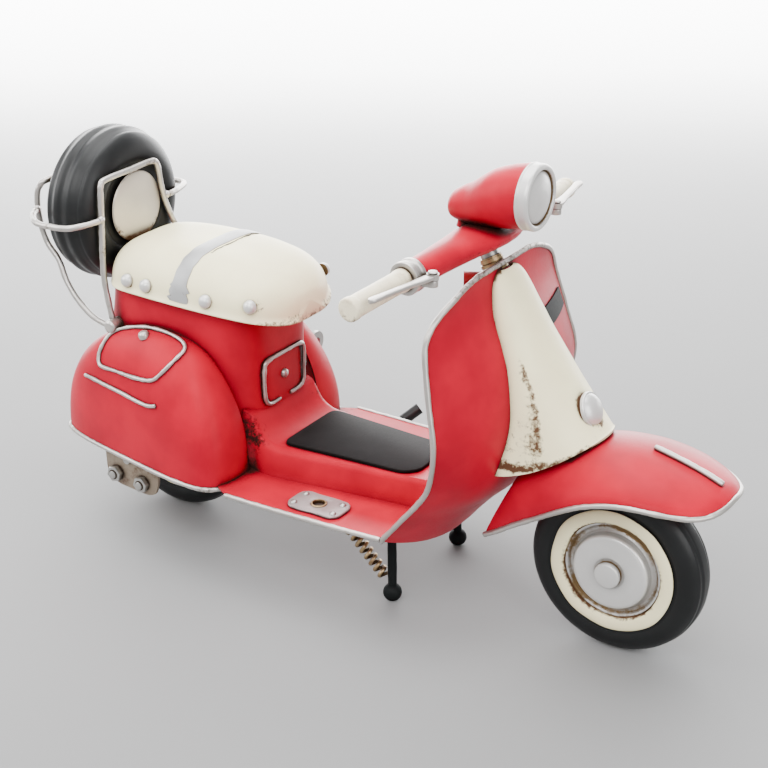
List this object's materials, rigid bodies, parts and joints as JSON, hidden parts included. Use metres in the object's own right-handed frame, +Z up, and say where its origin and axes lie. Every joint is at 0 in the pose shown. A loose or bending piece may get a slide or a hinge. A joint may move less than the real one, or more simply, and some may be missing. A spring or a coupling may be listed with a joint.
{
  "type": "tin wind-up motor scooter",
  "caption": "Red and cream tin toy scooter with leg shield, step-through floor, bulging rear cowls, spare wheel rack and clockwork drive.",
  "frame": {"origin": "on the ground under the middle of the bounding box", "axes": "+X to the front wheel, +Y to the rider's left, +Z up"},
  "size_m": [0.2637, 0.1408, 0.1566],
  "materials": {
    "red_paint": "satin enamel, aged",
    "cream_paint": "satin enamel, aged",
    "silver_paint": "warm silver paint",
    "black_paint": "satin",
    "brown_metal": "worn grey-brown",
    "steel": "dull",
    "brass": "tarnished",
    "black_rubber": "satin",
    "black_mat": "matt"
  },
  "bodies": {
    "body": {"rear_body": "red_paint", "floor_pan": "red_paint", "floor_mat": "black_mat", "leg_shield": "red_paint", "shield_bead": "silver_paint", "floor_beads": "silver_paint", "horn_cover": "cream_paint", "horn_badge": "silver_paint", "name_plate": "black_paint", "head_tube": "red_paint", "cowl_right": "red_paint", "cowl_left": "red_paint", "cowl_beads": "silver_paint", "cowl_wires": "silver_paint", "latch_knobs": "silver_paint", "hatch_wire": "silver_paint", "seat": "cream_paint", "seat_strap": "silver_paint", "rivets": "silver_paint", "spare_tyre": "black_rubber", "spare_disc": "cream_paint", "rack_bail": "silver_paint", "rack_hoop": "silver_paint", "rack_arms": "silver_paint", "rack_nuts": "silver_paint", "brake_plate": "brown_metal", "axle_bracket": "brown_metal", "hex_nuts": "steel", "stand_bracket": "black_paint", "motor_plates": "steel", "motor_pillars": "steel", "mainspring": "steel", "head_rings": "brass"},
    "steering": {"fork": "steel", "front_axle": "silver_paint", "fender": "red_paint", "fender_bead": "silver_paint", "fender_crest": "silver_paint", "handlebar_casing": "red_paint", "bar_collars": "silver_paint", "grips": "cream_paint", "headlight_shell": "red_paint", "headlight_bezel": "silver_paint", "headlight_lens": "silver_paint"},
    "brake_lever": {"brake_lever": "silver_paint"},
    "clutch_lever": {"clutch_lever": "silver_paint"},
    "front_wheel": {"front_tyre": "black_rubber", "front_whitewalls": "cream_paint", "front_rim": "silver_paint"},
    "rear_wheel": {"rear_tyre": "black_rubber", "rear_whitewalls": "cream_paint", "rear_rim": "silver_paint", "rear_axle": "steel"},
    "idler": {"idler_gear": "brass"},
    "great": {"great_wheel": "brass", "winding_key": "steel"},
    "stand": {"centre_stand": "black_paint", "stand_spring": "brass"},
    "kick": {"kick_arm": "red_paint", "kick_rubber": "black_rubber"}
  },
  "joints": [
    {"name": "steering_turn", "type": "hinge", "parent": "body", "child": "steering", "pos_m": [0.0458, 0, 0.1196], "axis": [-0.4473, 0, 0.8944], "range_deg": [-18, 18]},
    {"name": "front_wheel_spin", "type": "hinge", "parent": "steering", "child": "front_wheel", "pos_m": [0.096, 0, 0.03], "axis": [0, 1, 0], "continuous": true},
    {"name": "brake_lever_pull", "type": "hinge", "parent": "steering", "child": "brake_lever", "pos_m": [0.0464, -0.0406, 0.1304], "axis": [0, 0, -1], "range_deg": [0, 4], "stiffness_Nm_per_rad": 0.02, "springref_deg": -2.86},
    {"name": "clutch_lever_pull", "type": "hinge", "parent": "steering", "child": "clutch_lever", "pos_m": [0.0464, 0.0406, 0.1304], "axis": [0, 0, 1], "range_deg": [0, 4], "stiffness_Nm_per_rad": 0.02, "springref_deg": -2.86},
    {"name": "rear_wheel_spin", "type": "hinge", "parent": "body", "child": "rear_wheel", "pos_m": [-0.087, 0, 0.03], "axis": [0, 1, 0], "continuous": true},
    {"name": "idler_spin", "type": "hinge", "parent": "body", "child": "idler", "pos_m": [-0.07474, 0, 0.04028], "axis": [0, 1, 0], "continuous": true},
    {"name": "great_wheel_spin", "type": "hinge", "parent": "body", "child": "great", "pos_m": [-0.0591, 0, 0.05], "axis": [0, 1, 0], "continuous": true},
    {"name": "stand_fold", "type": "hinge", "parent": "body", "child": "stand", "pos_m": [0.0192, 0, 0.0302], "axis": [0, 1, 0], "range_deg": [0, 70], "deforming": ["stand_spring"]},
    {"name": "kick_start", "type": "hinge", "parent": "body", "child": "kick", "pos_m": [-0.047, 0, 0.029], "axis": [0, 1, 0], "range_deg": [0, 35], "stiffness_Nm_per_rad": 0.01, "springref_deg": -8.59}
  ],
  "couplings": [
    {"joint": "idler_spin", "follows": "rear_wheel_spin", "ratio": -0.33333},
    {"joint": "great_wheel_spin", "follows": "rear_wheel_spin", "ratio": 0.092593}
  ]
}
